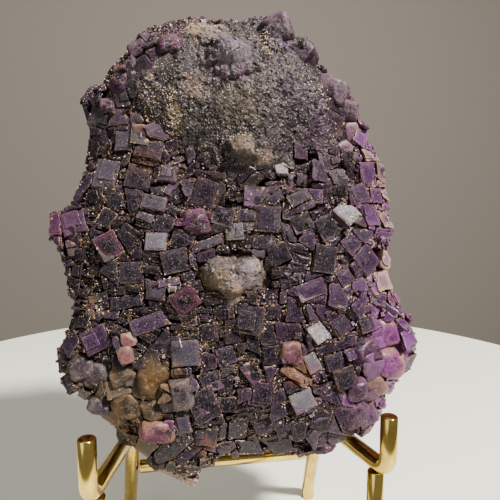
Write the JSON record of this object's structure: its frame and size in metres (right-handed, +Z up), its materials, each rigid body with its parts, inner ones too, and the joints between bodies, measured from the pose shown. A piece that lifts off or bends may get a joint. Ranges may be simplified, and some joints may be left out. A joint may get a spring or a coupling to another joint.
{
  "type": "mineral specimen on display stand",
  "caption": "Upright plate of intergrown purple fluorite cubes under a sugary dome, leaning on a bent brass rod easel.",
  "frame": {"origin": "middle of the footprint's bounding box at ground level", "axes": "+Z up, the crystal face looks along -Y and leans back toward +Y, +X is the viewer's right"},
  "size_m": [0.094, 0.056, 0.151],
  "materials": {
    "fluorite": "glassy dark purple crystal faces with cream grains",
    "rod": "polished, lightly tarnished"
  },
  "bodies": {
    "root": {"fluorite_cluster": "fluorite", "left_prong_arm": "rod", "left_front_leg": "rod", "left_rear_post": "rod", "right_prong_arm": "rod", "right_front_leg": "rod", "right_rear_post": "rod", "rear_crossbar": "rod"}
  },
  "joints": []
}
